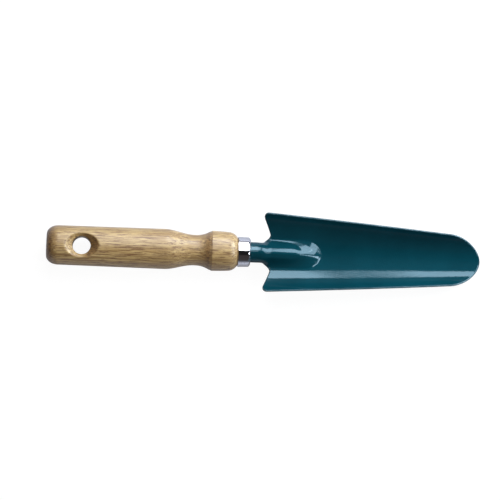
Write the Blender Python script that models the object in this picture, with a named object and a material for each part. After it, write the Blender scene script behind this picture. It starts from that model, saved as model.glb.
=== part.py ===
"""A hand trowel: turned wooden handle, plated ferrule, and a head pressed from one steel sheet.

Metres, +Z up. The origin is the centre of the handle's flat butt end. +X runs along the handle's
axis to the blade's tip, and +Z is the hollow side of the blade.
"""

import math

import bmesh
import bpy
from mathutils import Vector

MM = 0.001
CLEARANCE = 0.35 * MM  # between pieces that are pressed together on the real trowel

# Handle, from the butt forward
BUTT_FLAT_RADIUS = 8.0 * MM
BUTT_ROUND_LENGTH = 8.5 * MM
BUTT_END_RADIUS = 14.05 * MM
GRIP_RADIUS = 14.35 * MM
GRIP_END = 83.9 * MM
WAIST_START = 105.4 * MM
WAIST_RADIUS = 10.9 * MM
COVE_START = 106.5 * MM
COVE_RADIUS = 18.5 * MM
RING_START = 115.9 * MM
RING_EDGE = 117.6 * MM
RING_STEP = 0.25 * MM
BULB_RADIUS = 14.3 * MM
BULB_ROUND_START = 129.3 * MM
BULB_ROUND_DROP = 0.4 * MM
BULB_ROUND_RADIUS = 8.2 * MM
HANDLE_SHOULDER = 136.3 * MM
SPIGOT_RADIUS = 9.45 * MM
SPIGOT_END = 143.2 * MM
SPIGOT_CHAMFER = 0.9 * MM

# Hang hole, straight through the grip along Z, countersunk on both sides
HOLE_X = 25.0 * MM
HOLE_RADIUS = 6.5 * MM
SINK_HALF_LENGTH = 12.2 * MM
SINK_SLOPE = 1.1  # radius gained for each step of height

# Ferrule
FERRULE_START = HANDLE_SHOULDER + CLEARANCE
FERRULE_END = 145.6 * MM
FERRULE_REAR_RADIUS = 10.75 * MM
FERRULE_RADIUS = 10.55 * MM
FERRULE_WALL = 0.75 * MM
FERRULE_ROUND_LENGTH = 1.9 * MM

# Head: sheet, tang and neck
SHEET = 1.5 * MM
NECK_RADIUS = 7.3 * MM
NECK_WRAP = math.radians(150)  # half of the angle that the rolled sheet closes round
TANG_END = 88.0 * MM
TANG_END_RADIUS = 3.4 * MM
TAPER_START = 144.0 * MM
NECK_OPENS = 148.0 * MM
NECK_RIDGE = 0.38  # how far the neck goes from round towards a straight-sided ridge
NECK_POWER = 3.0  # of the neck's round part, higher is flatter on top

# Head: blade outline, measured to the outside of the sheet's edge
NOTCH_X = 159.8 * MM
NOTCH_HALF_WIDTH = 13.2 * MM
NOTCH_FLARE = 0.25  # share of the half width that the sheet gains in the notch's corner
NOTCH_FLARE_START = 157.5 * MM
OPENING_POWER = 1.4  # higher keeps the neck rolled for longer
SHOULDER_SWEEP = 6.6 * MM
SHOULDER_HALF_WIDTH = 28.25 * MM
SHOULDER_ROUND_SHARE = 0.25  # of the back edge's width
SHOULDER_ROUND_LENGTH = 4.0 * MM
SWEEP_POWER = 1.15  # of the back edge, 1 would be straight
NOSE_START = 290.6 * MM
NOSE_HALF_WIDTH = 18.85 * MM
NOSE_POWER = 1.9  # of the nose's outline, 2 would be an ellipse
SIDE_BOW = 0.3 * MM
TIP_X = 313.0 * MM

# Head: dish and rib, on the sheet's middle surface
RIM_ANGLE = math.radians(53)  # slope of the dish at its sides
TROUGH_Z = -5.3 * MM
TROUGH_FALL = 0.0565  # drop for each step forward
TIP_LIFT = 0.9 * MM
TIP_LIFT_START = 270.0 * MM
RIB_HALF_WIDTH = 10.0 * MM
RIB_HEIGHT = 7.6 * MM  # above the dish, where the nose of the rib starts
WEDGE_HEIGHT = 5.3 * MM  # of that height, the part that slopes evenly from crest to foot
RIB_NOSE_START = 174.0 * MM
RIB_NOSE_LENGTH = 22.8 * MM
RIB_NOSE_POWER = 3.4  # higher is blunter
RIB_NOSE_ROUNDING = 1.5  # seen from above, 1 ends the rib in a point and 2 in an oval
HILL_START = 0.3  # share of the flank beside the crest that only the wedge slopes
HILL_SOFTNESS = 0.08  # as a share of the rest of the flank
RIDGE_SOFTNESS = 0.5 * MM
FOOT_SOFTNESS = 0.06  # as a share of the rib's half width

TURN_STEPS = 48


def clear_scene():
    for item in list(bpy.data.objects):
        bpy.data.objects.remove(item, do_unlink=True)


def make_material(name, color, roughness, metallic):
    material = bpy.data.materials.new(name)
    material.use_nodes = True
    shader = material.node_tree.nodes["Principled BSDF"]
    shader.inputs["Base Color"].default_value = (*color, 1.0)
    shader.inputs["Roughness"].default_value = roughness
    shader.inputs["Metallic"].default_value = metallic
    return material


def add_object(name, bm, material=None):
    bmesh.ops.recalc_face_normals(bm, faces=bm.faces)
    mesh = bpy.data.meshes.new(name)
    bm.to_mesh(mesh)
    bm.free()
    mesh.shade_smooth()
    mesh.set_sharp_from_angle(angle=math.radians(35))
    if material:
        mesh.materials.append(material)
    item = bpy.data.objects.new(name, mesh)
    bpy.context.collection.objects.link(item)
    return item


def ease(value):
    """Smooth step from 0 to 1."""
    value = min(max(value, 0.0), 1.0)
    return value * value * (3.0 - 2.0 * value)


def mix(start, end, share):
    return start + (end - start) * share


def quarter_round(start, end, steps, bulge_first):
    """Points after start up to end along a quarter ellipse, leaving start along the radius or along X."""
    points = []
    for step in range(1, steps + 1):
        angle = 0.5 * math.pi * step / steps
        along, across = 1.0 - math.cos(angle), math.sin(angle)
        if not bulge_first:
            along, across = across, along
        points.append((mix(start[0], end[0], along), mix(start[1], end[1], across)))
    return points


def turned(points, center, axis, closed):
    """Spins (along, radius) points about a line through center. A closed outline makes a ring."""
    bm = bmesh.new()
    axis = Vector(axis)
    side = Vector((0.0, 0.0, 1.0)) if axis.x else Vector((1.0, 0.0, 0.0))
    verts = []
    for along, radius in points:
        verts.append(bm.verts.new(center + axis * along + side * radius))
    for first, second in zip(verts, verts[1:]):
        bm.edges.new((first, second))
    if closed:
        bm.edges.new((verts[-1], verts[0]))
    bmesh.ops.spin(
        bm, geom=bm.verts[:] + bm.edges[:], cent=center, axis=axis, steps=TURN_STEPS, angle=math.tau
    )
    bmesh.ops.remove_doubles(bm, verts=bm.verts, dist=0.002 * MM)
    return bm


# ---------------------------------------------------------------- handle


def tang_radius(x):
    """Outer radius of the rolled tang and neck."""
    share = (x - TANG_END) / (TAPER_START - TANG_END)
    return mix(TANG_END_RADIUS, NECK_RADIUS, min(share, 1.0))


def handle_outline():
    """(x, radius) points from the butt's centre, over the outside, to the end of the blind bore."""
    points = [(0.0, 0.0), (0.0, BUTT_FLAT_RADIUS)]
    points += quarter_round(points[-1], (BUTT_ROUND_LENGTH, BUTT_END_RADIUS), 8, bulge_first=True)
    points.append((GRIP_END, GRIP_RADIUS))
    waist_steps = 9
    for step in range(1, waist_steps + 1):
        share = step / waist_steps
        drop = 0.5 - 0.5 * math.cos(math.pi * share)
        points.append((mix(GRIP_END, WAIST_START, share), mix(GRIP_RADIUS, WAIST_RADIUS, drop)))
    cove_steps = 6
    for step in range(cove_steps + 1):
        run = (RING_START - COVE_START) * step / cove_steps
        rise = COVE_RADIUS - math.sqrt(COVE_RADIUS**2 - run**2)
        points.append((COVE_START + run, WAIST_RADIUS + rise))
    points.append((RING_EDGE, BULB_RADIUS - RING_STEP))
    points.append((RING_EDGE + RING_STEP, BULB_RADIUS))
    round_top = BULB_RADIUS - BULB_ROUND_DROP
    points.append((mix(RING_EDGE, BULB_ROUND_START, 0.5), BULB_RADIUS - 0.2 * BULB_ROUND_DROP))
    points.append((BULB_ROUND_START, round_top))
    bulb_steps = 6
    end_angle = math.asin((HANDLE_SHOULDER - BULB_ROUND_START) / BULB_ROUND_RADIUS)
    for step in range(1, bulb_steps + 1):
        angle = end_angle * step / bulb_steps
        x = BULB_ROUND_START + BULB_ROUND_RADIUS * math.sin(angle)
        points.append((x, round_top - BULB_ROUND_RADIUS * (1.0 - math.cos(angle))))
    points.append((HANDLE_SHOULDER, SPIGOT_RADIUS))
    points.append((SPIGOT_END - SPIGOT_CHAMFER, SPIGOT_RADIUS))
    points.append((SPIGOT_END, SPIGOT_RADIUS - SPIGOT_CHAMFER))
    bore_end = TANG_END - 2.0 * MM
    points.append((SPIGOT_END, tang_radius(SPIGOT_END) + CLEARANCE))
    points.append((bore_end, tang_radius(bore_end) + CLEARANCE))
    points.append((bore_end, 0.0))
    return points


def hang_hole_cutter():
    """An hourglass along Z: a plain bore that opens into a cone towards each face."""
    sink_start = GRIP_RADIUS - (SINK_HALF_LENGTH - HOLE_RADIUS) / SINK_SLOPE
    outside = GRIP_RADIUS + 2.0 * MM
    mouth = HOLE_RADIUS + (outside - sink_start) * SINK_SLOPE
    points = [(outside, 0.0), (outside, mouth), (sink_start, HOLE_RADIUS)]
    points += [(-sink_start, HOLE_RADIUS), (-outside, mouth), (-outside, 0.0)]
    cutter = add_object("hang_hole_cutter", turned(points, Vector((HOLE_X, 0.0, 0.0)), (0, 0, 1), False))
    cutter.hide_render = True
    cutter.display_type = "WIRE"
    return cutter


def make_handle():
    wood = make_material("lacquered_wood", (0.56, 0.38, 0.21), 0.4, 0.0)
    handle = add_object("handle", turned(handle_outline(), Vector(), (1, 0, 0), False), wood)
    hole = handle.modifiers.new("hang_hole", "BOOLEAN")
    hole.operation = "DIFFERENCE"
    hole.solver = "EXACT"
    hole.object = hang_hole_cutter()


# --------------------------------------------------------------- ferrule


def make_ferrule():
    chrome = make_material("bright_plating", (0.8, 0.8, 0.83), 0.12, 1.0)
    hole = NECK_RADIUS + CLEARANCE
    round_start = FERRULE_END - FERRULE_ROUND_LENGTH
    inner = FERRULE_RADIUS - FERRULE_WALL
    points = [(FERRULE_START, FERRULE_REAR_RADIUS), (round_start, FERRULE_RADIUS)]
    points += quarter_round(points[-1], (FERRULE_END, hole), 6, bulge_first=False)
    inner_front = (FERRULE_END - FERRULE_WALL, hole)
    points.append(inner_front)
    points += quarter_round(inner_front, (round_start, inner), 4, bulge_first=True)
    points.append((FERRULE_START, inner))
    add_object("ferrule", turned(points, Vector(), (1, 0, 0), True), chrome)


# ------------------------------------------------------------------ head


def half_width(x):
    """Half of the blade's width on the sheet's middle surface: a taper with a slight bow."""
    share = (x - NOTCH_X) / (NOSE_START - NOTCH_X)
    bow = 4.0 * SIDE_BOW * share * (1.0 - share)
    return mix(SHOULDER_HALF_WIDTH, NOSE_HALF_WIDTH, share) + bow - 0.5 * SHEET


def trough_height(x):
    lift = ease((x - TIP_LIFT_START) / (TIP_X - TIP_LIFT_START))
    return TROUGH_Z - TROUGH_FALL * (x - NOTCH_X) + TIP_LIFT * lift


def dish_rise(x, y):
    """Height of the dish above its trough: an arc whose radius follows the blade's width."""
    radius = half_width(x) / math.sin(RIM_ANGLE)
    return radius - math.sqrt(radius**2 - y**2)


def ridge_distance(y):
    """How far out y is from the middle, counted from a softly rounded ridge."""
    return math.hypot(y, RIDGE_SOFTNESS) - RIDGE_SOFTNESS


def soft_positive(value, softness):
    """value where it is above zero and nothing below, with the bend between rounded."""
    return 0.5 * (value + math.hypot(value, softness))


def rib_rise(x, y):
    """Height of the rib above the dish: a wedge of even slope, on a hill that grows to the neck."""
    behind = (RIB_NOSE_START - x) / (RIB_NOSE_START - NECK_OPENS)
    neck_rise = NECK_RADIUS - 0.5 * SHEET - trough_height(NECK_OPENS)
    across = ridge_distance(y) / RIB_HALF_WIDTH
    forward = max(x - RIB_NOSE_START, 0.0) / RIB_NOSE_LENGTH
    away = (math.hypot(across, forward) - HILL_START) / (1.0 - HILL_START)
    hill = mix(RIB_HEIGHT, neck_rise, behind) - WEDGE_HEIGHT
    ahead = forward**RIB_NOSE_POWER
    outward = (ahead**RIB_NOSE_ROUNDING + across**RIB_NOSE_ROUNDING) ** (1.0 / RIB_NOSE_ROUNDING)
    wedge = soft_positive(1.0 - outward, FOOT_SOFTNESS)
    return hill * (1.0 - min(soft_positive(away, HILL_SOFTNESS), 1.0)) ** 2 + WEDGE_HEIGHT * wedge


def blade_point(x, y):
    return Vector((x, y, trough_height(x) + dish_rise(x, y) + rib_rise(x, y)))


def neck_point(x, share):
    """The rolled stem, opening into the rib and its feet at the notch. share runs from -1 to 1."""
    radius = tang_radius(x) - 0.5 * SHEET
    angle = share * NECK_WRAP / (1.0 - NOTCH_FLARE)
    y = radius * math.sin(angle)
    z = radius * math.cos(angle)
    if z > 0.0:
        wedge = 1.0 - ridge_distance(y) / ridge_distance(radius)
        z = radius * mix(math.sqrt(1.0 - abs(y / radius) ** NECK_POWER), wedge, NECK_RIDGE)
    rolled = Vector((x, y, z))
    if x <= NECK_OPENS:
        return rolled
    opening = ease((x - NECK_OPENS) / (NOTCH_X + 0.5 * SHEET - NECK_OPENS)) ** OPENING_POWER
    return rolled.lerp(blade_point(x, share * NOTCH_HALF_WIDTH), opening)


def surface_normal(point_at, x, across, step):
    along = point_at(x + 0.01 * MM, across) - point_at(x - 0.01 * MM, across)
    sideways = point_at(x, across + step) - point_at(x, across - step)
    return along.cross(sideways).normalized()


def neck_edge(x):
    """How far out, as a share, the stem's sheet reaches: it flares into the notch."""
    end = NOTCH_X + 0.5 * SHEET
    reach = min(max((x - NOTCH_FLARE_START) / (end - NOTCH_FLARE_START), 0.0), 1.0)
    return 1.0 - NOTCH_FLARE * math.sqrt(1.0 - reach**2)


def back_edge(share):
    """x of the blade's back edge. share is the place across, 0 at the middle and 1 at the side."""
    start = NOTCH_X + 0.5 * SHEET
    inner = NOTCH_HALF_WIDTH / half_width(start)
    if share <= inner:
        return start
    out = (share - inner) / (1.0 - inner)
    corner = max(out - (1.0 - SHOULDER_ROUND_SHARE), 0.0) / SHOULDER_ROUND_SHARE
    rounding = SHOULDER_ROUND_LENGTH * (1.0 - math.sqrt(max(1.0 - corner**2, 0.0)))
    return start - SHOULDER_SWEEP * out**SWEEP_POWER + rounding


def nose_edge(share):
    """x of the blade's front edge across the nose, a rounded point."""
    length = TIP_X - 0.5 * SHEET - NOSE_START
    return NOSE_START + length * max(1.0 - share**NOSE_POWER, 0.0) ** (1.0 / NOSE_POWER)


def blade_x(share, forward):
    return mix(back_edge(abs(share)), nose_edge(abs(share)), forward)


def stem_rows(tang_steps, neck_steps):
    """x of each row of the stem, from the tang's end to just behind the notch."""
    rows = [mix(TANG_END, NECK_OPENS, step / tang_steps) for step in range(tang_steps)]
    end = NOTCH_X + 0.5 * SHEET
    for step in range(neck_steps):
        rows.append(mix(NECK_OPENS, end, math.sin(0.5 * math.pi * step / neck_steps)))
    return rows


def across_shares(rib_steps, wing_steps):
    """Places across the blade from -1 to 1, closest together at the sides."""
    inner = NOTCH_HALF_WIDTH / half_width(NOTCH_X + 0.5 * SHEET)
    half = [inner * step / rib_steps for step in range(rib_steps + 1)]
    for step in range(1, wing_steps + 1):
        half.append(mix(inner, 1.0, math.sin(0.5 * math.pi * step / wing_steps)))
    return [-share for share in half[:0:-1]] + half


def head_grid(tang_steps, neck_steps, rib_steps, wing_steps, blade_steps):
    """Rows of (point, normal) over the sheet's middle surface, and how many columns the wings take."""
    rows = []
    for x in stem_rows(tang_steps, neck_steps):
        row = []
        for step in range(-rib_steps, rib_steps + 1):
            share = neck_edge(x) * step / rib_steps
            row.append((neck_point(x, share), surface_normal(neck_point, x, share, 0.001)))
        rows.append([None] * wing_steps + row + [None] * wing_steps)
    for step in range(blade_steps + 1):
        forward = (step / blade_steps) ** 1.3
        row = []
        for share in across_shares(rib_steps, wing_steps):
            x = blade_x(share, forward)
            y = share * half_width(x)
            row.append((blade_point(x, y), surface_normal(blade_point, x, y, 0.01 * MM)))
        rows.append(row)
    return rows


def outline_loop(rows):
    """(row, column) of each cell on the sheet's edge, in order, with the sheet on the left."""
    edges = set()
    for index in range(len(rows) - 1):
        for column in range(len(rows[0]) - 1):
            corners = quad_corners(rows, index, column)
            for first, second in zip(corners, corners[1:] + corners[:1]):
                if (second, first) in edges:
                    edges.remove((second, first))
                else:
                    edges.add((first, second))
    following = dict(edges)
    loop = [min(following)]
    while following[loop[-1]] != loop[0]:
        loop.append(following[loop[-1]])
    return loop


def quad_corners(rows, index, column):
    """The four cells of one quad, or nothing where the sheet is cut away."""
    corners = [(index, column), (index + 1, column), (index + 1, column + 1), (index, column + 1)]
    if any(rows[row][place] is None for row, place in corners):
        return []
    return corners


def sheet_from_grid(rows, edge_steps):
    """Gives the middle surface its thickness, with a rounded edge all the way round."""
    bm = bmesh.new()
    half = 0.5 * SHEET
    top = [[cell and bm.verts.new(cell[0] + half * cell[1]) for cell in row] for row in rows]
    bottom = [[cell and bm.verts.new(cell[0] - half * cell[1]) for cell in row] for row in rows]
    for index in range(len(rows) - 1):
        for column in range(len(rows[0]) - 1):
            corners = quad_corners(rows, index, column)
            if corners:
                bm.faces.new([top[row][place] for row, place in corners])
                bm.faces.new([bottom[row][place] for row, place in reversed(corners)])
    loop = outline_loop(rows)
    ribs = []
    for place, (row, column) in enumerate(loop):
        before = rows[loop[place - 1][0]][loop[place - 1][1]][0]
        after_cell = loop[(place + 1) % len(loop)]
        after = rows[after_cell[0]][after_cell[1]][0]
        point, normal = rows[row][column]
        outward = (after - before).cross(normal).normalized()
        rib = [top[row][column]]
        for step in range(1, edge_steps):
            angle = math.pi * (0.5 - step / edge_steps)
            rib.append(bm.verts.new(point + half * (math.sin(angle) * normal + math.cos(angle) * outward)))
        ribs.append(rib + [bottom[row][column]])
    for first, second in zip(ribs, ribs[1:] + ribs[:1]):
        for step in range(edge_steps):
            bm.faces.new((first[step], first[step + 1], second[step + 1], second[step]))
    return bm


def make_head():
    paint = make_material("teal_coating", (0.012, 0.085, 0.11), 0.22, 0.0)
    rows = head_grid(tang_steps=8, neck_steps=12, rib_steps=9, wing_steps=8, blade_steps=34)
    add_object("head", sheet_from_grid(rows, edge_steps=4), paint)


clear_scene()
make_handle()
make_ferrule()
make_head()
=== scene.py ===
"""The looks of the hand trowel: fine surfaces, wood, plating and paint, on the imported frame.

Metres, +Z up, the frame's own axes: +X from the butt to the blade's tip, +Z the blade's hollow side.
Each piece is rebuilt from the frame's boxes as a fine mesh that stands for its CAD node.
"""

import math

import bmesh
import bpy
from mathutils import Matrix, Vector


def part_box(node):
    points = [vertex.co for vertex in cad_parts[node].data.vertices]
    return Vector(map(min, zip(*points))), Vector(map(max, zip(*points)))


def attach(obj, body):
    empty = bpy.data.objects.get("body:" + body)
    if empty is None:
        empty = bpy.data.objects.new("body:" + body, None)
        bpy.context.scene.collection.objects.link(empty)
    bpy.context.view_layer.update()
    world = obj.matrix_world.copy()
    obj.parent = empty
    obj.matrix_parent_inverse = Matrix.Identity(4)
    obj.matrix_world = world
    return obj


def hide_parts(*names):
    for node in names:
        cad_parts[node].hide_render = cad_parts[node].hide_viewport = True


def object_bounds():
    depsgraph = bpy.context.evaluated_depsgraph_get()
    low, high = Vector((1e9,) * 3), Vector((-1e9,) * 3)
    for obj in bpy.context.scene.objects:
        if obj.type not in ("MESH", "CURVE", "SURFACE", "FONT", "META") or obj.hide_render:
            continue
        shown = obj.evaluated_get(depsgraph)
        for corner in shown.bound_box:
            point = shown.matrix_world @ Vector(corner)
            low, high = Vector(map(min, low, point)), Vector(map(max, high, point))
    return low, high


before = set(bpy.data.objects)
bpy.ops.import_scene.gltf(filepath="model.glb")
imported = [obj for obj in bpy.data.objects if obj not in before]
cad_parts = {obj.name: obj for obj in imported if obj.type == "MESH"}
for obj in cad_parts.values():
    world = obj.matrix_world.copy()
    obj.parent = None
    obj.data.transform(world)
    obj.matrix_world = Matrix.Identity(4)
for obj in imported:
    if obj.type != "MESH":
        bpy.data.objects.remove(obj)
cad_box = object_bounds()

# ---------------------------------------------------------------- sizes from the frame

HANDLE_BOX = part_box("handle")
FERRULE_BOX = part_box("ferrule")
HEAD_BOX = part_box("head")

GRIP_RADIUS = HANDLE_BOX[1].y
MM = GRIP_RADIUS / 14.35  # the grip is 28.7 mm across

# Handle, from the butt forward
BUTT_FLAT_RADIUS = 8.0 * MM
BUTT_ROUND_LENGTH = 8.5 * MM
BUTT_END_RADIUS = 14.05 * MM
GRIP_END = 83.9 * MM
WAIST_START = 105.4 * MM
WAIST_RADIUS = 10.9 * MM
COVE_START = 106.5 * MM
COVE_RADIUS = 18.5 * MM
RING_START = 115.9 * MM
RING_EDGE = 117.6 * MM
RING_STEP = 0.25 * MM
BULB_RADIUS = 14.3 * MM
BULB_ROUND_START = 129.3 * MM
BULB_ROUND_DROP = 0.4 * MM
BULB_ROUND_RADIUS = 8.2 * MM
SPIGOT_RADIUS = 9.45 * MM
SPIGOT_END = HANDLE_BOX[1].x
SPIGOT_CHAMFER = 0.9 * MM

# Hang hole
HOLE_X = 25.0 * MM
HOLE_RADIUS = 6.5 * MM
SINK_HALF_LENGTH = 12.2 * MM
SINK_SLOPE = 1.1  # radius gained for each step of height
LIP_ROUNDING = 1.0 * MM  # where the countersink meets the grip
HOLE_EDGE_ROUNDING = 0.45 * MM  # where the countersink meets the bore

# Ferrule
FERRULE_START = FERRULE_BOX[0].x
FERRULE_END = FERRULE_BOX[1].x
FERRULE_REAR_RADIUS = FERRULE_BOX[1].y
FERRULE_RADIUS = 10.55 * MM
FERRULE_WALL = 0.75 * MM
FERRULE_ROUND_LENGTH = 1.9 * MM
CLEARANCE = 0.35 * MM
HANDLE_SHOULDER = FERRULE_START - CLEARANCE

# Head
SHEET = 1.5 * MM
NECK_RADIUS = 7.3 * MM
NECK_WRAP = math.radians(150)  # half of the angle that the rolled sheet closes round
TANG_END = 88.0 * MM
TANG_END_RADIUS = 3.4 * MM
TAPER_START = 144.0 * MM
BORE_END = TANG_END - 2.0 * MM  # of the handle's blind bore, which the tang sits in
NECK_OPENS = 148.0 * MM
NECK_RIDGE = 0.38  # how far the neck goes from round towards a straight-sided ridge
NECK_POWER = 3.0  # of the neck's round part, higher is flatter on top
NOTCH_X = 159.8 * MM
NOTCH_HALF_WIDTH = 13.2 * MM
NOTCH_FLARE = 0.25  # share of the half width that the sheet gains in the notch's corner
NOTCH_FLARE_START = 157.5 * MM
OPENING_POWER = 1.4  # higher keeps the neck rolled for longer
SHOULDER_SWEEP = 6.6 * MM
SHOULDER_HALF_WIDTH = 28.24 * MM
SHOULDER_ROUND_SHARE = 0.25  # of the back edge's width
SHOULDER_ROUND_LENGTH = 4.0 * MM
SWEEP_POWER = 1.15  # of the back edge, 1 would be straight
NOSE_START = 290.6 * MM
NOSE_HALF_WIDTH = 18.85 * MM
NOSE_POWER = 1.9  # of the blade's front outline, 2 would be an ellipse
SIDE_BOW = 0.3 * MM
TIP_X = HEAD_BOX[1].x
RIM_ANGLE = math.radians(53)  # slope of the dish at its sides
TROUGH_Z = -5.3 * MM
TROUGH_FALL = 0.0565  # drop for each step forward
TIP_LIFT = 0.9 * MM
TIP_LIFT_START = 270.0 * MM
RIB_HALF_WIDTH = 10.0 * MM
RIB_HEIGHT = 7.6 * MM  # above the dish, where the nose of the rib starts
WEDGE_HEIGHT = 5.3 * MM  # of that height, the part that slopes evenly from crest to foot
RIB_NOSE_START = 174.0 * MM
RIB_NOSE_LENGTH = 22.8 * MM
RIB_NOSE_POWER = 3.4  # higher is blunter
RIB_NOSE_ROUNDING = 1.5  # seen from above, 1 ends the rib in a point and 2 in an oval
HILL_START = 0.3  # share of the flank beside the crest that only the wedge slopes
HILL_SOFTNESS = 0.08  # as a share of the rest of the flank
RIDGE_SOFTNESS = 0.5 * MM
FOOT_SOFTNESS = 0.06  # as a share of the rib's half width

SHARP_ANGLE = math.radians(40)  # edges that bend more than this are shaded sharp


# ---------------------------------------------------------------- helpers


def mix(start, end, share):
    return start + (end - start) * share


def ease(value):
    """Smooth step from 0 to 1."""
    value = min(max(value, 0.0), 1.0)
    return value * value * (3.0 - 2.0 * value)


def spaced(start, end, count):
    """count values after start, evenly spaced, the last of them end."""
    return [mix(start, end, step / count) for step in range(1, count + 1)]


def add_piece(name, verts, faces, node, material, rim=None):
    """A fine mesh that stands for a CAD node and rides on the one body.

    rim gives each point's place round a sheet's edge: 0 on its flat sides, 1 furthest out.
    """
    mesh = bpy.data.meshes.new(name)
    mesh.from_pydata(verts, [], faces)
    bm = bmesh.new()
    bm.from_mesh(mesh)
    bmesh.ops.recalc_face_normals(bm, faces=bm.faces)
    bm.to_mesh(mesh)
    bm.free()
    mesh.shade_smooth()
    mesh.set_sharp_from_angle(angle=SHARP_ANGLE)
    if rim:
        mesh.attributes.new("rim", "FLOAT", "POINT").data.foreach_set("value", rim)
    mesh.materials.append(material)
    piece = bpy.data.objects.new(name, mesh)
    bpy.context.scene.collection.objects.link(piece)
    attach(piece, "root")
    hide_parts(node)
    return piece


# ---------------------------------------------------------------- turned outlines


def quarter_round(start, end, steps, bulge_first):
    """Points after start up to end along a quarter ellipse."""
    points = []
    for step in range(1, steps + 1):
        angle = 0.5 * math.pi * step / steps
        along, across = 1.0 - math.cos(angle), math.sin(angle)
        if not bulge_first:
            along, across = across, along
        points.append((mix(start[0], end[0], along), mix(start[1], end[1], across)))
    return points


def line(start, end, steps):
    return list(zip(spaced(start[0], end[0], steps), spaced(start[1], end[1], steps)))


def tang_radius(x):
    share = (x - TANG_END) / (TAPER_START - TANG_END)
    return mix(TANG_END_RADIUS, NECK_RADIUS, min(share, 1.0))


def butt_outline():
    """(x, radius) from near the butt's centre round to the start of the grip."""
    points = [(0.0, share * BUTT_FLAT_RADIUS) for share in (0.15, 0.3, 0.5, 0.7, 0.85, 1.0)]
    round_end = (BUTT_ROUND_LENGTH, BUTT_END_RADIUS)
    return points + quarter_round(points[-1], round_end, steps=32, bulge_first=True)


def grip_radius(x):
    return mix(BUTT_END_RADIUS, GRIP_RADIUS, (x - BUTT_ROUND_LENGTH) / (GRIP_END - BUTT_ROUND_LENGTH))


def front_outline():
    """(x, radius) from the grip's front end over waist, ring and bulb to the blind bore's end."""
    points = []
    waist_steps = 40
    for step in range(1, waist_steps + 1):
        share = step / waist_steps
        drop = 0.5 - 0.5 * math.cos(math.pi * share)
        points.append((mix(GRIP_END, WAIST_START, share), mix(GRIP_RADIUS, WAIST_RADIUS, drop)))
    cove_steps = 24
    for step in range(cove_steps + 1):
        run = (RING_START - COVE_START) * step / cove_steps
        points.append((COVE_START + run, WAIST_RADIUS + COVE_RADIUS - math.sqrt(COVE_RADIUS**2 - run**2)))
    points += line(points[-1], (RING_EDGE, BULB_RADIUS - RING_STEP), steps=5)
    points += quarter_round(points[-1], (RING_EDGE + RING_STEP, BULB_RADIUS), steps=5, bulge_first=True)
    round_top = BULB_RADIUS - BULB_ROUND_DROP
    bulb_start = points[-1][0]
    for x in spaced(bulb_start, BULB_ROUND_START, count=14):
        share = (x - bulb_start) / (BULB_ROUND_START - bulb_start)
        points.append((x, mix(BULB_RADIUS, round_top, share**2)))
    end_angle = math.asin((HANDLE_SHOULDER - BULB_ROUND_START) / BULB_ROUND_RADIUS)
    for angle in spaced(0.0, end_angle, count=20):
        x = BULB_ROUND_START + BULB_ROUND_RADIUS * math.sin(angle)
        points.append((x, round_top - BULB_ROUND_RADIUS * (1.0 - math.cos(angle))))
    points.append((HANDLE_SHOULDER, SPIGOT_RADIUS))
    points += line(points[-1], (SPIGOT_END - SPIGOT_CHAMFER, SPIGOT_RADIUS), steps=4)
    points.append((SPIGOT_END, SPIGOT_RADIUS - SPIGOT_CHAMFER))
    points.append((SPIGOT_END, tang_radius(SPIGOT_END) + CLEARANCE))
    points += line(points[-1], (BORE_END, tang_radius(BORE_END) + CLEARANCE), steps=12)
    points.append((BORE_END, 0.5 * points[-1][1]))
    return points


# ---------------------------------------------------------------- handle


AROUND = 256  # columns round the handle
HALF_AROUND = AROUND // 2
WINDOW_COLUMNS = 42  # half the width of the window that each side's countersink is set into
WINDOW_HALF_LENGTH = 15.0 * MM
WINDOW_START = HOLE_X - WINDOW_HALF_LENGTH
WINDOW_END = HOLE_X + WINDOW_HALF_LENGTH


def sink_height(distance):
    """Height of the countersink's cone at a distance from the hole's axis."""
    start = GRIP_RADIUS - (SINK_HALF_LENGTH - HOLE_RADIUS) / SINK_SLOPE
    return start + (distance - HOLE_RADIUS) / SINK_SLOPE


def handle_height(x, y):
    """Height of the handle's side over (x, y) round the hole, with the countersink's lip rounded.

    The lip is rounded by a parabola that meets the side and the countersink without a bend.
    """
    side = math.sqrt(grip_radius(x) ** 2 - y**2)
    sink = sink_height(math.hypot(x - HOLE_X, y))
    overlap = max(LIP_ROUNDING - abs(side - sink), 0.0) / LIP_ROUNDING
    return min(side, sink) - 0.25 * overlap**2 * LIP_ROUNDING


def rim_distance(direction):
    """How far from the hole's axis the countersink's cone meets the handle's side, by halving."""
    near, far = HOLE_RADIUS, 2.0 * HOLE_RADIUS
    halvings = 40
    for _ in range(halvings):
        middle = 0.5 * (near + far)
        x, y = HOLE_X + middle * direction.x, middle * direction.y
        if sink_height(middle) < math.sqrt(grip_radius(x) ** 2 - y**2):
            near = middle
        else:
            far = middle
    return near


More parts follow.
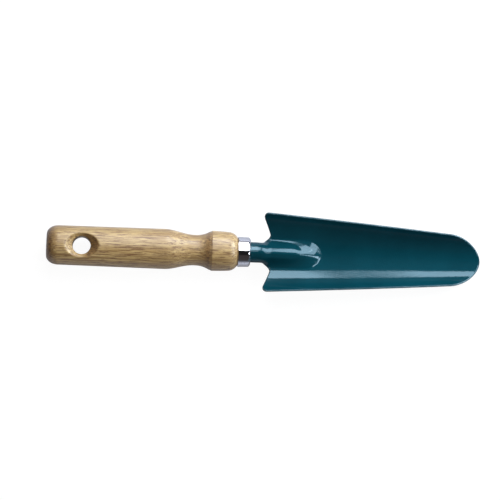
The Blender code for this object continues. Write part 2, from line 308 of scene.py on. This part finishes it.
def window_spoke(x, y):
    """(x, y, z) points from the window's border down the countersink to the middle of the bore."""
    offset = Vector((x - HOLE_X, y))
    direction = offset.normalized()
    rim = rim_distance(direction)
    side_steps, lip_steps = 9, 5
    lip, edge = 0.5 * LIP_ROUNDING, HOLE_EDGE_ROUNDING
    distances = []
    for step in range(1, side_steps):
        distances.append(mix(offset.length, rim, math.sin(0.5 * math.pi * step / side_steps)))
    distances += [rim + lip * step / lip_steps for step in (3, 2, 1, 0, -1, -2, -3)]
    distances += spaced(rim - lip, HOLE_RADIUS + edge, count=8)
    points = []
    for distance in distances:
        px, py = HOLE_X + distance * direction.x, distance * direction.y
        points.append((px, py, handle_height(px, py)))
    corner = Vector((HOLE_RADIUS, sink_height(HOLE_RADIUS)))
    above = Vector((HOLE_RADIUS + edge, sink_height(HOLE_RADIUS + edge)))
    below = corner - Vector((0.0, edge))
    for share in spaced(0.0, 1.0, count=5):
        bend = above.lerp(corner, share).lerp(corner.lerp(below, share), share)
        points.append((HOLE_X + bend.x * direction.x, bend.x * direction.y, bend.y))
    for z in spaced(below.y, 0.0, count=9):
        points.append((HOLE_X + HOLE_RADIUS * direction.x, HOLE_RADIUS * direction.y, z))
    return points


def handle_rows():
    """(x, radius) of every row of the handle, and the rows that border the window."""
    rows = butt_outline()
    rows += line(rows[-1], (WINDOW_START, grip_radius(WINDOW_START)), steps=4)
    first = len(rows) - 1
    rows += line(rows[-1], (WINDOW_END, grip_radius(WINDOW_END)), steps=60)
    last = len(rows) - 1
    rows += line(rows[-1], (GRIP_END, GRIP_RADIUS), steps=60)
    return rows + front_outline(), first, last


def border_cells(first, last):
    """(row, column) round the window's border, in order."""
    side = WINDOW_COLUMNS
    cells = [(first, column) for column in range(-side, side)]
    cells += [(row, side) for row in range(first, last)]
    cells += [(last, column) for column in range(side, -side, -1)]
    cells += [(row, -side) for row in range(last, first, -1)]
    return cells


def handle_vert(row, column):
    return row * AROUND + column % AROUND


def in_window(row, column, first, last):
    """Whether the face ahead of a row and column lies in one of the two windows."""
    middle = abs(column + 0.5)
    return first <= row < last and (middle < WINDOW_COLUMNS or middle > HALF_AROUND - WINDOW_COLUMNS)


def close_end(verts, faces, row, x):
    """Closes the handle's first or last row round a point on the axis."""
    centre = len(verts)
    verts.append((x, 0.0, 0.0))
    for column in range(AROUND):
        faces.append((centre, handle_vert(row, column), handle_vert(row, column + 1)))


def make_handle(material):
    rows, first, last = handle_rows()
    verts = []
    for x, radius in rows:
        for column in range(AROUND):
            angle = math.tau * column / AROUND
            verts.append((x, radius * math.sin(angle), radius * math.cos(angle)))
    faces = []
    for row in range(len(rows) - 1):
        for column in range(-HALF_AROUND, HALF_AROUND):
            if not in_window(row, column, first, last):
                near = (handle_vert(row, column), handle_vert(row, column + 1))
                far = (handle_vert(row + 1, column + 1), handle_vert(row + 1, column))
                faces.append(near + far)
    close_end(verts, faces, 0, rows[0][0])
    close_end(verts, faces, len(rows) - 1, rows[-1][0])
    spokes = []
    for row, column in border_cells(first, last):
        x, y, _ = verts[handle_vert(row, column)]
        upper = window_spoke(x, y)
        lower = [(px, py, -pz) for px, py, pz in upper[-2::-1]]
        inside = list(range(len(verts), len(verts) + len(upper) + len(lower)))
        verts += upper + lower
        spokes.append([handle_vert(row, column)] + inside + [handle_vert(row, HALF_AROUND - column)])
    for near, far in zip(spokes, spokes[1:] + spokes[:1]):
        for step in range(len(near) - 1):
            faces.append((near[step], far[step], far[step + 1], near[step + 1]))
    return add_piece("handle_turned", verts, faces, "handle", material)


# ---------------------------------------------------------------- ferrule


def ferrule_outline():
    """(x, radius) round the wall: outside, rolled front lip, and back along the inside."""
    hole = NECK_RADIUS + CLEARANCE
    round_start = FERRULE_END - FERRULE_ROUND_LENGTH
    inner = FERRULE_RADIUS - FERRULE_WALL
    lip = 0.15 * MM
    points = [(FERRULE_START, FERRULE_REAR_RADIUS - lip)]
    rear_edge = (FERRULE_START + lip, FERRULE_REAR_RADIUS)
    points += quarter_round(points[-1], rear_edge, steps=4, bulge_first=True)
    points += line(points[-1], (round_start, FERRULE_RADIUS), steps=20)
    points += quarter_round(points[-1], (FERRULE_END, hole + lip), steps=24, bulge_first=False)
    points += quarter_round(points[-1], (FERRULE_END - lip, hole), steps=4, bulge_first=False)
    inner_front = (FERRULE_END - FERRULE_WALL, hole)
    points.append(inner_front)
    points += quarter_round(inner_front, (round_start, inner), steps=10, bulge_first=True)
    points.append((FERRULE_START, inner))
    return points


def make_ferrule(material):
    around = 192
    verts, faces = [], []
    points = ferrule_outline()
    for x, radius in points:
        for column in range(around):
            angle = math.tau * column / around
            verts.append((x, radius * math.sin(angle), radius * math.cos(angle)))
    for row in range(len(points)):
        here, after = row * around, (row + 1) % len(points) * around
        for column in range(around):
            beside = (column + 1) % around
            faces.append((here + column, after + column, after + beside, here + beside))
    return add_piece("ferrule_cup", verts, faces, "ferrule", material)


# ---------------------------------------------------------------- head


def half_width(x):
    """Half of the blade's width on the sheet's middle surface: a taper with a slight bow."""
    share = (x - NOTCH_X) / (NOSE_START - NOTCH_X)
    bow = 4.0 * SIDE_BOW * share * (1.0 - share)
    return mix(SHOULDER_HALF_WIDTH, NOSE_HALF_WIDTH, share) + bow - 0.5 * SHEET


def trough_height(x):
    lift = ease((x - TIP_LIFT_START) / (TIP_X - TIP_LIFT_START))
    return TROUGH_Z - TROUGH_FALL * (x - NOTCH_X) + TIP_LIFT * lift


def dish_rise(x, y):
    """Height of the dish above its trough: an arc whose radius follows the blade's width."""
    radius = half_width(x) / math.sin(RIM_ANGLE)
    return radius - math.sqrt(radius**2 - y**2)


def ridge_distance(y):
    """How far out y is from the middle, counted from a softly rounded ridge."""
    return math.hypot(y, RIDGE_SOFTNESS) - RIDGE_SOFTNESS


def soft_positive(value, softness):
    """value where it is above zero and nothing below, with the bend between rounded."""
    return 0.5 * (value + math.hypot(value, softness))


def rib_rise(x, y):
    """Height of the rib above the dish: a wedge of even slope, on a hill that grows to the neck."""
    behind = (RIB_NOSE_START - x) / (RIB_NOSE_START - NECK_OPENS)
    neck_rise = NECK_RADIUS - 0.5 * SHEET - trough_height(NECK_OPENS)
    across = ridge_distance(y) / RIB_HALF_WIDTH
    forward = max(x - RIB_NOSE_START, 0.0) / RIB_NOSE_LENGTH
    away = (math.hypot(across, forward) - HILL_START) / (1.0 - HILL_START)
    hill = mix(RIB_HEIGHT, neck_rise, behind) - WEDGE_HEIGHT
    ahead = forward**RIB_NOSE_POWER
    outward = (ahead**RIB_NOSE_ROUNDING + across**RIB_NOSE_ROUNDING) ** (1.0 / RIB_NOSE_ROUNDING)
    wedge = soft_positive(1.0 - outward, FOOT_SOFTNESS)
    return hill * (1.0 - min(soft_positive(away, HILL_SOFTNESS), 1.0)) ** 2 + WEDGE_HEIGHT * wedge


def blade_point(x, y):
    return Vector((x, y, trough_height(x) + dish_rise(x, y) + rib_rise(x, y)))


def neck_point(x, share):
    """The rolled stem, opening into the rib and its feet at the notch. share runs from -1 to 1."""
    radius = tang_radius(x) - 0.5 * SHEET
    angle = share * NECK_WRAP / (1.0 - NOTCH_FLARE)
    y = radius * math.sin(angle)
    z = radius * math.cos(angle)
    if z > 0.0:
        wedge = 1.0 - ridge_distance(y) / ridge_distance(radius)
        z = radius * mix(math.sqrt(1.0 - abs(y / radius) ** NECK_POWER), wedge, NECK_RIDGE)
    rolled = Vector((x, y, z))
    if x <= NECK_OPENS:
        return rolled
    opening = ease((x - NECK_OPENS) / (NOTCH_X + 0.5 * SHEET - NECK_OPENS)) ** OPENING_POWER
    return rolled.lerp(blade_point(x, share * NOTCH_HALF_WIDTH), opening)


PROBE = 0.01 * MM  # how far either way a surface is felt for its slope
PROBE_SHARE = 0.001  # the same across the stem, as neck_point counts its share


def surface_normal(point_at, x, across, step):
    along = point_at(x + PROBE, across) - point_at(x - PROBE, across)
    sideways = point_at(x, across + step) - point_at(x, across - step)
    return along.cross(sideways).normalized()


def neck_edge(x):
    """How far out, as a share, the stem's sheet reaches: it flares into the notch."""
    end = NOTCH_X + 0.5 * SHEET
    reach = min(max((x - NOTCH_FLARE_START) / (end - NOTCH_FLARE_START), 0.0), 1.0)
    return 1.0 - NOTCH_FLARE * math.sqrt(1.0 - reach**2)


def back_edge(share):
    """x of the blade's back edge. share is the place across, 0 at the middle and 1 at the side."""
    start = NOTCH_X + 0.5 * SHEET
    inner = NOTCH_HALF_WIDTH / half_width(start)
    if share <= inner:
        return start
    out = (share - inner) / (1.0 - inner)
    corner = max(out - (1.0 - SHOULDER_ROUND_SHARE), 0.0) / SHOULDER_ROUND_SHARE
    rounding = SHOULDER_ROUND_LENGTH * (1.0 - math.sqrt(max(1.0 - corner**2, 0.0)))
    return start - SHOULDER_SWEEP * out**SWEEP_POWER + rounding


def nose_edge(share):
    """x of the blade's front edge across the nose, a rounded point."""
    length = TIP_X - 0.5 * SHEET - NOSE_START
    return NOSE_START + length * max(1.0 - share**NOSE_POWER, 0.0) ** (1.0 / NOSE_POWER)


def blade_x(share, forward):
    return mix(back_edge(abs(share)), nose_edge(abs(share)), forward)


def stem_rows(tang_steps, neck_steps):
    """x of each row of the stem, from the tang's end to just behind the notch."""
    rows = [mix(TANG_END, NECK_OPENS, step / tang_steps) for step in range(tang_steps)]
    end = NOTCH_X + 0.5 * SHEET
    for step in range(neck_steps):
        rows.append(mix(NECK_OPENS, end, math.sin(0.5 * math.pi * step / neck_steps)))
    return rows


def across_shares(rib_steps, wing_steps):
    """Places across the blade from -1 to 1, closest together at the sides."""
    inner = NOTCH_HALF_WIDTH / half_width(NOTCH_X + 0.5 * SHEET)
    half = [inner * step / rib_steps for step in range(rib_steps + 1)]
    for step in range(1, wing_steps + 1):
        half.append(mix(inner, 1.0, math.sin(0.5 * math.pi * step / wing_steps)))
    return [-share for share in half[:0:-1]] + half


def head_grid(tang_steps, neck_steps, rib_steps, wing_steps, blade_steps):
    """Rows of (point, normal) over the sheet's middle surface; None where there is no sheet."""
    rows = []
    for x in stem_rows(tang_steps, neck_steps):
        row = []
        for step in range(-rib_steps, rib_steps + 1):
            share = neck_edge(x) * step / rib_steps
            row.append((neck_point(x, share), surface_normal(neck_point, x, share, PROBE_SHARE)))
        rows.append([None] * wing_steps + row + [None] * wing_steps)
    crowding = 1.3  # above 1, the rows are closest together at the rib
    for step in range(blade_steps + 1):
        forward = (step / blade_steps) ** crowding
        row = []
        for share in across_shares(rib_steps, wing_steps):
            x = blade_x(share, forward)
            y = share * half_width(x)
            row.append((blade_point(x, y), surface_normal(blade_point, x, y, PROBE)))
        rows.append(row)
    return rows


def quad_corners(rows, index, column):
    """The four cells of one quad, or nothing where the sheet is cut away."""
    corners = [(index, column), (index + 1, column), (index + 1, column + 1), (index, column + 1)]
    if any(rows[row][place] is None for row, place in corners):
        return []
    return corners


def outline_loop(quads):
    """(row, column) of each cell on the sheet's edge, in order, with the sheet on the left."""
    edges = set()
    for corners in quads:
        for first, second in zip(corners, corners[1:] + corners[:1]):
            if (second, first) in edges:
                edges.remove((second, first))
            else:
                edges.add((first, second))
    following = dict(edges)
    loop = [min(following)]
    while following[loop[-1]] != loop[0]:
        loop.append(following[loop[-1]])
    return loop


def make_head(material):
    rows = head_grid(tang_steps=24, neck_steps=48, rib_steps=36, wing_steps=28, blade_steps=220)
    quads = []
    for index in range(len(rows) - 1):
        for column in range(len(rows[0]) - 1):
            corners = quad_corners(rows, index, column)
            if corners:
                quads.append(corners)
    half = 0.5 * SHEET
    verts, top, bottom = [], {}, {}
    for index, row in enumerate(rows):
        for column, cell in enumerate(row):
            if cell:
                top[index, column] = len(verts)
                verts.append(cell[0] + half * cell[1])
                bottom[index, column] = len(verts)
                verts.append(cell[0] - half * cell[1])
    faces = []
    for corners in quads:
        faces.append([top[cell] for cell in corners])
        faces.append([bottom[cell] for cell in reversed(corners)])
    loop = outline_loop(quads)
    edge_steps = 8
    ribs = []
    rim = [0.0] * len(verts)
    for place, (index, column) in enumerate(loop):
        before, after = loop[place - 1], loop[(place + 1) % len(loop)]
        point, normal = rows[index][column]
        run = rows[after[0]][after[1]][0] - rows[before[0]][before[1]][0]
        outward = run.cross(normal).normalized()
        rib = [top[index, column]]
        for step in range(1, edge_steps):
            angle = math.pi * (0.5 - step / edge_steps)
            rib.append(len(verts))
            rim.append(math.cos(angle))
            verts.append(point + half * (math.sin(angle) * normal + math.cos(angle) * outward))
        ribs.append(rib + [bottom[index, column]])
    for first, second in zip(ribs, ribs[1:] + ribs[:1]):
        for step in range(edge_steps):
            faces.append((first[step], first[step + 1], second[step + 1], second[step]))
    return add_piece("head_pressing", verts, faces, "head", material, rim)


# ---------------------------------------------------------------- materials


def feed(tree, socket, value):
    """Sets a socket to a value, or links it to the socket that feeds it."""
    if isinstance(value, bpy.types.NodeSocket):
        tree.links.new(value, socket)
    else:
        socket.default_value = value


def add_node(tree, kind, settings, inputs):
    node = tree.nodes.new(kind)
    for key, value in settings.items():
        setattr(node, key, value)
    for key, value in inputs.items():
        feed(tree, node.inputs[key], value)
    return node


class Shading:
    """A short way to write a material's nodes."""

    def __init__(self, name):
        self.material = bpy.data.materials.new(name)
        self.material.use_nodes = True
        self.tree = self.material.node_tree
        self.surface = self.tree.nodes["Principled BSDF"]
        place = self.add("ShaderNodeTexCoord")
        in_mm = {0: place.outputs["Object"], "Scale": 1.0 / MM}
        self.place_mm = self.add("ShaderNodeVectorMath", {"operation": "SCALE"}, in_mm).outputs[0]
        self.normal = place.outputs["Normal"]

    def add(self, kind, settings=None, inputs=None):
        return add_node(self.tree, kind, settings or {}, inputs or {})

    def math(self, operation, first, second=0.0, third=0.0):
        values = {0: first, 1: second, 2: third}
        return self.add("ShaderNodeMath", {"operation": operation}, values).outputs[0]

    def separate(self, vector):
        """The x, y and z of a vector."""
        return self.add("ShaderNodeSeparateXYZ", {}, {0: vector}).outputs

    def noise(self, stretch, detail=2.0, roughness=0.5, seed=0.0):
        """Noise from 0 to 1 over the place in millimetres, with stretch giving features per millimetre."""
        moved = {0: self.place_mm, 1: stretch, 2: (seed,) * 3}
        place = self.add("ShaderNodeVectorMath", {"operation": "MULTIPLY_ADD"}, moved).outputs[0]
        settings = {"Vector": place, "Scale": 1.0, "Detail": detail, "Roughness": roughness}
        return self.add("ShaderNodeTexNoise", {}, settings).outputs["Fac"]

    def ramp(self, value, stops):
        """A colour or grey ramp. stops are (place, grey or colour)."""
        node = self.add("ShaderNodeValToRGB", {}, {"Fac": value})
        while len(node.color_ramp.elements) < len(stops):
            node.color_ramp.elements.new(0.5)
        for element, (place, color) in zip(node.color_ramp.elements, stops):
            element.position = place
            color = color if isinstance(color, tuple) else (color,) * 3
            element.color = (*color, 1.0)
        return node.outputs["Color"]

    def blend(self, share, first, second):
        """From the first colour to the second as share goes from 0 to 1."""
        node = self.add("ShaderNodeMix", {"data_type": "RGBA"}, {"Factor": share})
        colors = [socket for socket in node.inputs if socket.type == "RGBA"]
        for socket, color in zip(colors, (first, second)):
            feed(self.tree, socket, (*color, 1.0) if isinstance(color, tuple) else color)
        return next(socket for socket in node.outputs if socket.type == "RGBA")

    def bump(self, height, depth, strength=1.0, below=None):
        """A normal bent by height, over the normal below where there is one."""
        node = self.add("ShaderNodeBump", {}, {"Height": height, "Distance": depth, "Strength": strength})
        if below:
            feed(self.tree, node.inputs["Normal"], below)
        return node.outputs["Normal"]

    def set(self, **inputs):
        for key, value in inputs.items():
            feed(self.tree, self.surface.inputs[key.replace("_", " ")], value)


def growth_rings(s):
    """0 in early wood to 1 in late wood: rings round a pith below the handle, leaning along it."""
    pith_y, pith_z, ring_width = -20.0, -34.0, 2.7  # millimetres
    wander, ripple = 16.0, 1.4  # millimetres
    lean = 0.05  # sideways for each step along the handle
    x, y, z = s.separate(s.place_mm)
    wandering = s.math("MULTIPLY", s.math("SUBTRACT", s.noise((0.012, 0.05, 0.05), 2.0), 0.5), wander)
    leaning = s.math("MULTIPLY_ADD", x, lean, wandering)
    from_pith_y = s.math("ADD", s.math("SUBTRACT", y, pith_y), leaning)
    from_pith_z = s.math("SUBTRACT", z, pith_z)
    squared_z = s.math("MULTIPLY", from_pith_z, from_pith_z)
    radius = s.math("SQRT", s.math("MULTIPLY_ADD", from_pith_y, from_pith_y, squared_z))
    radius = s.math("MULTIPLY_ADD", s.noise((0.03, 0.5, 0.5), 1.0, seed=3.0), ripple, radius)
    ring = s.math("FRACT", s.math("DIVIDE", radius, ring_width))
    return s.ramp(ring, [(0.0, 0.3), (0.12, 0.0), (0.55, 0.1), (0.9, 1.0), (1.0, 0.3)])


def wood():
    """Hardwood under clear lacquer: leaning growth rings, long fibres, short dark pores, dark end grain,
    and painted shade on faces towards the butt.
    """
    s = Shading("fine_wood")
    fibre = s.noise((0.035, 0.95, 0.95), 6.0, 0.75, seed=7.0)
    dark, middle, pale = (0.20, 0.108, 0.032), (0.43, 0.290, 0.112), (0.60, 0.440, 0.205)
    base = s.ramp(fibre, [(0.38, dark), (0.5, middle), (0.62, pale)])
    base = s.blend(s.math("MULTIPLY", growth_rings(s), 0.6), base, (0.24, 0.130, 0.040))
    cloud = s.ramp(s.noise((0.012, 0.12, 0.12), 2.0, seed=11.0), [(0.42, 0.0), (0.72, 0.55)])
    base = s.blend(cloud, base, (0.31, 0.205, 0.085))
    pore = s.ramp(s.noise((0.09, 1.15, 1.15), 4.0, 0.65, seed=19.0), [(0.53, 0.0), (0.58, 1.0)])
    base = s.blend(s.math("MULTIPLY", pore, 0.85), base, (0.14, 0.062, 0.020))

    # End grain darkens the faces that look along the handle. Those that look to the butt, the butt's
    # rounding and the cove before the ring, are darkened most, and that extra darkening is painted shade.
    to_butt = s.math("MULTIPLY_ADD", s.separate(s.normal)["X"], -0.5, 0.5)
    facing_tip = [(0.0, 0.5), (0.12, 0.15), (0.22, 0.0)]
    facing_butt = [(0.5, 0.0), (0.56, 0.1), (0.76, 0.85), (1.0, 0.95)]
    end_grain_and_painted_shade = s.ramp(to_butt, facing_tip + facing_butt)
    ends = s.noise((0.3, 1.0, 1.0), 3.0, 0.7, seed=29.0)
    end_grain_and_shade_color = s.ramp(ends, [(0.40, (0.055, 0.022, 0.007)), (0.62, (0.30, 0.165, 0.055))])
    base = s.blend(end_grain_and_painted_shade, base, end_grain_and_shade_color)

    relief = s.math("SUBTRACT", s.math("MULTIPLY", fibre, 0.5), pore)
    s.set(Base_Color=base, Roughness=0.5, Normal=s.bump(relief, 0.06 * MM, 0.7))
    s.set(Coat_Weight=1.0, Coat_Roughness=0.31, Coat_Normal=s.bump(relief, 0.03 * MM, 0.6))
    return s.material


def plating():
    """Bright nickel-chrome with faint marks round it from the tumbling."""
    s = Shading("fine_plating")
    rings = s.noise((2.2, 0.03, 0.03), 3.0, seed=2.0)
    clouds = s.noise((0.25, 0.25, 0.25), 3.0, seed=5.0)
    ringed = s.ramp(rings, [(0.4, 0.06), (0.7, 0.12)])
    clouded = s.ramp(clouds, [(0.4, 0.0), (0.8, 0.06)])
    s.set(Base_Color=(0.80, 0.80, 0.84, 1.0), Metallic=1.0, Roughness=s.math("ADD", ringed, clouded))
    s.set(Normal=s.bump(clouds, 0.015 * MM, 0.4))
    return s.material


def paint():
    """Glossy deep teal coating: faint waviness, dust nibs, orange peel, and paler rubbed edges, part real
    wear and part a painted highlight along the sheet's edge.
    """
    s = Shading("fine_paint")
    tone = s.noise((0.03, 0.03, 0.03), 3.0, seed=4.0)
    base = s.ramp(tone, [(0.35, (0.0017, 0.031, 0.044)), (0.65, (0.0024, 0.039, 0.055))])
    nibs = s.ramp(s.noise((1.1, 1.1, 1.1), 1.0, seed=13.0), [(0.70, 0.0), (0.78, 1.0)])
    peel = s.noise((1.2, 0.7, 0.7), 2.0, seed=17.0)
    along = s.math("DIVIDE", s.separate(s.place_mm)["X"], TIP_X / MM)
    peel_share = s.ramp(along, [(0.62, 0.15), (0.70, 1.0), (0.80, 1.0), (0.92, 0.4)])
    normal = s.bump(nibs, 0.02 * MM, 0.4)
    normal = s.bump(s.math("MULTIPLY", peel, peel_share), 0.09 * MM, 0.8, below=normal)
    normal = s.bump(s.noise((0.06, 0.12, 0.12), 2.0, seed=9.0), 0.10 * MM, 0.4, below=normal)
    # Paler edges: rubbed-through wear, and a painted highlight standing in for the glint along the sheet's
    # edge.
    rim = s.add("ShaderNodeAttribute", {"attribute_name": "rim"}).outputs["Fac"]
    patches = s.ramp(s.noise((0.25, 0.6, 0.6), 3.0, seed=23.0), [(0.35, 0.35), (0.65, 1.0)])
    worn_and_painted_glint = s.math("MULTIPLY", s.ramp(rim, [(0.35, 0.0), (0.95, 0.7)]), patches)
    base = s.blend(worn_and_painted_glint, base, (0.15, 0.22, 0.25))
    s.set(Base_Color=base, Roughness=s.math("MULTIPLY_ADD", worn_and_painted_glint, 0.25, 0.09), Normal=normal)
    s.set(Specular_Tint=(0.62, 0.86, 1.0, 1.0))
    return s.material


make_handle(wood())
make_ferrule(plating())
make_head(paint())


# ---------------------------------------------------------------- camera, light and floor

SPAN = 358.0 * MM  # what the frame shows across
CAMERA_DISTANCE = 1.7
AIM = Vector((145.3 * MM, 1.6 * MM, 0.0))
LOOK_FROM_BUTT = 0.056  # how far the camera leans towards the butt, for each step up
LOOK_FROM_SIDE = 0.072  # and towards -Y
TURN = math.radians(2.2)  # the trowel's tip points this far below level in the picture


def add_camera():
    data = bpy.data.cameras.new("camera")
    camera = bpy.data.objects.new("camera", data)
    bpy.context.scene.collection.objects.link(camera)
    back = Vector((-LOOK_FROM_BUTT, -LOOK_FROM_SIDE, 1.0)).normalized()
    right = (Vector((1.0, 0.0, 0.0)) - back * back.x).normalized()
    up = back.cross(right)
    turned_right = right * math.cos(TURN) + up * math.sin(TURN)
    turned_up = up * math.cos(TURN) - right * math.sin(TURN)
    axes = Matrix((turned_right, turned_up, back)).transposed()
    camera.matrix_world = Matrix.Translation(AIM + back * CAMERA_DISTANCE) @ axes.to_4x4()
    data.sensor_width = 36.0
    data.lens = data.sensor_width * CAMERA_DISTANCE / SPAN
    bpy.context.scene.camera = camera


def add_floor():
    """A pale floor just under the trowel. It glows, most of all to the camera, as an overlit table does.

    What the trowel mirrors and the light it gets from below are dimmer than what the camera sees.
    """
    floor_z = cad_box[0].z - 0.1 * MM
    reach = 3.0
    signs = ((-1, -1), (1, -1), (1, 1), (-1, 1))
    mesh = bpy.data.meshes.new("floor")
    mesh.from_pydata([(reach * x, reach * y, floor_z) for x, y in signs], [], [(0, 1, 2, 3)])
    floor = bpy.data.objects.new("floor", mesh)
    bpy.context.scene.collection.objects.link(floor)
    s = Shading("floor_paper")
    path = s.add("ShaderNodeLightPath")
    seen, lighting = path.outputs["Is Camera Ray"], path.outputs["Is Diffuse Ray"]
    base = s.blend(lighting, (0.38, 0.39, 0.44), (0.55, 0.54, 0.52))
    base = s.blend(seen, base, (0.10, 0.10, 0.103))
    glow = s.math("MULTIPLY_ADD", seen, 0.87, 0.07)
    s.set(Base_Color=base, Roughness=0.9, Specular_IOR_Level=0.0)
    s.set(Emission_Color=(1.0, 1.0, 1.0, 1.0), Emission_Strength=glow)
    mesh.materials.append(s.material)


COOL, PALE, WARM = (0.85, 0.88, 1.0), (0.9, 0.95, 1.0), (1.0, 0.85, 0.85)
STUDIO_BANDS = [  # (degrees from straight up towards +Y, strength, tint)
    (-90, 0.32, COOL),
    (-80, 0.10, COOL),
    (-70, 0.05, (1.0, 0.9, 0.9)),
    (-32, 0.045, WARM),
    (-24, 0.012, (1.0, 1.0, 1.0)),
    (0, 0.012, (1.0, 1.0, 1.0)),
    (8, 0.07, PALE),
    (60, 0.12, PALE),
    (80, 0.20, COOL),
    (88, 0.50, COOL),
]


def add_studio():
    """Dim bands of light round the trowel's long axis, dark overhead. The camera sees a pale backdrop."""
    world = bpy.data.worlds.new("studio")
    bpy.context.scene.world = world
    world.use_nodes = True
    tree = world.node_tree
    direction = add_node(tree, "ShaderNodeTexCoord", {}, {}).outputs["Generated"]
    axes = add_node(tree, "ShaderNodeSeparateXYZ", {}, {"Vector": direction}).outputs
    angle = add_node(tree, "ShaderNodeMath", {"operation": "ARCTAN2"}, {0: axes["Y"], 1: axes["Z"]})
    full_turn = {"Value": angle.outputs[0], "From Min": -math.pi, "From Max": math.pi}
    share = add_node(tree, "ShaderNodeMapRange", {}, full_turn)
    ramp = add_node(tree, "ShaderNodeValToRGB", {}, {"Fac": share.outputs[0]})
    elements = ramp.color_ramp.elements
    while len(elements) < len(STUDIO_BANDS):
        elements.new(0.5)
    for element, (degrees, strength, tint) in zip(elements, STUDIO_BANDS):
        element.position = (degrees + 180.0) / 360.0
        element.color = (*(strength * channel for channel in tint), 1.0)
    studio = tree.nodes["Background"]
    feed(tree, studio.inputs["Color"], ramp.outputs["Color"])
    backdrop = add_node(tree, "ShaderNodeBackground", {}, {"Color": (0.96, 0.96, 0.97, 1.0)})
    seen = add_node(tree, "ShaderNodeLightPath", {}, {}).outputs["Is Camera Ray"]
    either = {0: seen, 1: studio.outputs[0], 2: backdrop.outputs[0]}
    choose = add_node(tree, "ShaderNodeMixShader", {}, either)
    feed(tree, tree.nodes["World Output"].inputs["Surface"], choose.outputs[0])


POWER_PER_RADIANCE = 4.0  # of an area light, for each square metre


def add_panel(name, centre, aim, along, across, radiance, color):
    """A flat light with its long side as near to X as its direction allows."""
    data = bpy.data.lights.new(name, "AREA")
    data.shape = "RECTANGLE"
    data.size = along
    data.size_y = across
    data.energy = POWER_PER_RADIANCE * radiance * along * across
    data.color = color
    panel = bpy.data.objects.new(name, data)
    bpy.context.scene.collection.objects.link(panel)
    back = (centre - aim).normalized()
    right = (Vector((1.0, 0.0, 0.0)) - back * back.x).normalized()
    axes = Matrix((right, back.cross(right), back)).transposed()
    panel.matrix_world = Matrix.Translation(centre) @ axes.to_4x4()
    panel.visible_camera = False
    return panel


def add_row_of_light(name, start, end, degrees, distance, spread, radiance, color):
    """A panel along X, at an angle from straight up towards +Y, filling spread degrees."""
    angle = math.radians(degrees)
    aim = Vector((0.5 * (start + end), 0.0, 0.0))
    centre = aim + distance * Vector((0.0, math.sin(angle), math.cos(angle)))
    across = 2.0 * distance * math.tan(math.radians(0.5 * spread))
    return add_panel(name, centre, aim, end - start, across, radiance, color)


STRIP = {"degrees": 56.5, "distance": 0.5, "spread": 23.0}
STRIP_RADIANCE = 7.0
LIGHT_BLUE = (0.86, 0.94, 1.0)
STRIP_PARTS = [  # (name, start and end along X, share of the radiance)
    ("strip_rear", 0.15, 0.282, 1.0),
    ("strip_gap", 0.282, 0.345, 0.15),
    ("strip_front", 0.345, 2.4, 1.0),
]
SOFTBOX = {"start": -0.03, "end": 0.215, "degrees": 42.0, "distance": 0.45, "spread": 70.0}
FILL = {"start": -0.06, "end": 0.18, "degrees": -40.0, "distance": 0.4, "spread": 35.0}
FILL_BEAM = math.radians(55.0)
PANEL_AIM = Vector((0.19, 0.0, 0.0))  # about where the rib's nose is
PANEL_DISTANCE = 0.9


def add_strip():
    """A long strip light on the +Y side, dim along a short part: the highlights along rib and blade."""
    for name, start, end, share in STRIP_PARTS:
        radiance = share * STRIP_RADIANCE
        add_row_of_light(name, start, end, **STRIP, radiance=radiance, color=LIGHT_BLUE)


def add_handle_lights():
    """A broad softbox for the sheen on the wood, and a warm fill on its shaded side."""
    add_row_of_light("softbox", **SOFTBOX, radiance=2.6, color=(1.0, 0.98, 0.99))
    fill = add_row_of_light("fill", **FILL, radiance=0.19, color=(1.0, 0.88, 0.72))
    fill.visible_glossy = False
    fill.data.spread = FILL_BEAM


def add_nose_lights():
    """Two panels ahead of the trowel that the rib's nose mirrors: as a crescent, and on its front."""
    low = PANEL_AIM + PANEL_DISTANCE * Vector((0.80, -0.17, 0.57))
    add_panel("low_panel", low, PANEL_AIM, along=0.6, across=0.13, radiance=10.0, color=LIGHT_BLUE)
    far = PANEL_AIM + PANEL_DISTANCE * Vector((0.65, 0.37, 0.62))
    add_panel("far_panel", far, PANEL_AIM, along=0.45, across=0.40, radiance=6.0, color=LIGHT_BLUE)


add_camera()
add_floor()
add_studio()
add_strip()
add_handle_lights()
add_nose_lights()
bpy.context.scene.view_settings.view_transform = "Standard"
